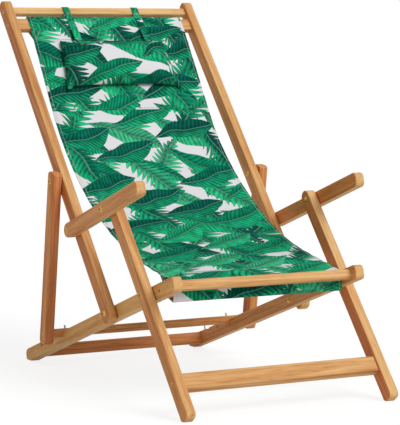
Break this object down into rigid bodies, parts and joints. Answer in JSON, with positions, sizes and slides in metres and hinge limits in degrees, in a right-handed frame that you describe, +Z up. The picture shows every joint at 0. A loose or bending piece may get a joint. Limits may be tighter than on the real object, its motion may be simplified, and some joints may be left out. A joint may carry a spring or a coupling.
{
  "type": "deck chair",
  "caption": "Folding wooden deck chair with armrests, a printed canvas sling seat and a head pillow; a prop with a crossbar sits in the notched seat rails and sets the recline.",
  "frame": {"origin": "on the floor, midway across the chair and midway along its length when it is set up", "axes": "+Z up, +X to the sitter's left, -Y the way the chair faces"},
  "size_m": [0.6066, 1.0478, 0.9244],
  "materials": {
    "oiled_hardwood": "oiled, planed smooth",
    "brass_bolts": "satin",
    "zinc_steel": "zinc plated",
    "sling_canvas": "printed canvas",
    "pillow_canvas": "printed canvas",
    "strap_tape": "sewn canvas tape"
  },
  "bodies": {
    "seat_frame": {"seat_rail_left": "oiled_hardwood", "seat_rail_right": "oiled_hardwood", "rear_stretcher": "oiled_hardwood", "front_bar": "oiled_hardwood", "front_sling_bar": "oiled_hardwood", "stop_pins": "zinc_steel", "seat_frame_screws": "brass_bolts", "sling": "sling_canvas", "back_pivot_bolts": "brass_bolts", "back_pivot_nuts": "brass_bolts", "back_pivot_washers": "zinc_steel", "leg_pivot_bolts": "brass_bolts", "leg_pivot_nuts": "brass_bolts", "leg_pivot_washers": "zinc_steel"},
    "back_frame": {"back_rail_left": "oiled_hardwood", "back_rail_right": "oiled_hardwood", "head_rail": "oiled_hardwood", "upper_sling_bar": "oiled_hardwood", "back_frame_screws": "brass_bolts", "head_pillow": "pillow_canvas", "pillow_strap_left": "strap_tape", "pillow_strap_right": "strap_tape", "arm_rear_bolts": "brass_bolts", "arm_rear_nuts": "brass_bolts", "arm_rear_washers": "zinc_steel", "prop_pivot_bolts": "brass_bolts", "prop_pivot_nuts": "brass_bolts", "prop_pivot_washers": "zinc_steel"},
    "leg_frame": {"front_leg_left": "oiled_hardwood", "front_leg_right": "oiled_hardwood", "leg_board": "oiled_hardwood", "leg_board_screws": "brass_bolts"},
    "prop_frame": {"prop_leg_left": "oiled_hardwood", "prop_leg_right": "oiled_hardwood", "prop_crossbar": "oiled_hardwood", "crossbar_screws": "brass_bolts"},
    "left_arm": {"armrest_left": "oiled_hardwood", "arm_front_bolt_left": "brass_bolts", "arm_front_nut_left": "brass_bolts", "arm_front_washer_left": "zinc_steel"},
    "right_arm": {"armrest_right": "oiled_hardwood", "arm_front_bolt_right": "brass_bolts", "arm_front_nut_right": "brass_bolts", "arm_front_washer_right": "zinc_steel"}
  },
  "joints": [
    {"name": "back_fold", "type": "hinge", "parent": "seat_frame", "child": "back_frame", "pos_m": [0, -0.10804, 0.1875], "axis": [1, 0, 0], "range_deg": [0, 95], "deforming": ["sling"]},
    {"name": "leg_fold", "type": "hinge", "parent": "seat_frame", "child": "leg_frame", "pos_m": [0, -0.30311, 0.25372], "axis": [1, 0, 0], "range_deg": [0, 95]},
    {"name": "left_arm_fold", "type": "hinge", "parent": "back_frame", "child": "left_arm", "pos_m": [0, 0.04848, 0.37076], "axis": [1, 0, 0], "range_deg": [-95, 0]},
    {"name": "right_arm_fold", "type": "hinge", "parent": "back_frame", "child": "right_arm", "pos_m": [0, 0.04848, 0.37076], "axis": [1, 0, 0], "range_deg": [-95, 0]},
    {"name": "prop_swing", "type": "hinge", "parent": "back_frame", "child": "prop_frame", "pos_m": [0, 0.14362, 0.48216], "axis": [1, 0, 0], "range_deg": [-33.25, 0]}
  ],
  "couplings": [
    {"joint": "leg_fold", "follows": "back_fold", "ratio": 1},
    {"joint": "left_arm_fold", "follows": "back_fold", "ratio": -1},
    {"joint": "right_arm_fold", "follows": "back_fold", "ratio": -1},
    {"joint": "prop_swing", "follows": "back_fold", "ratio": -0.35}
  ]
}
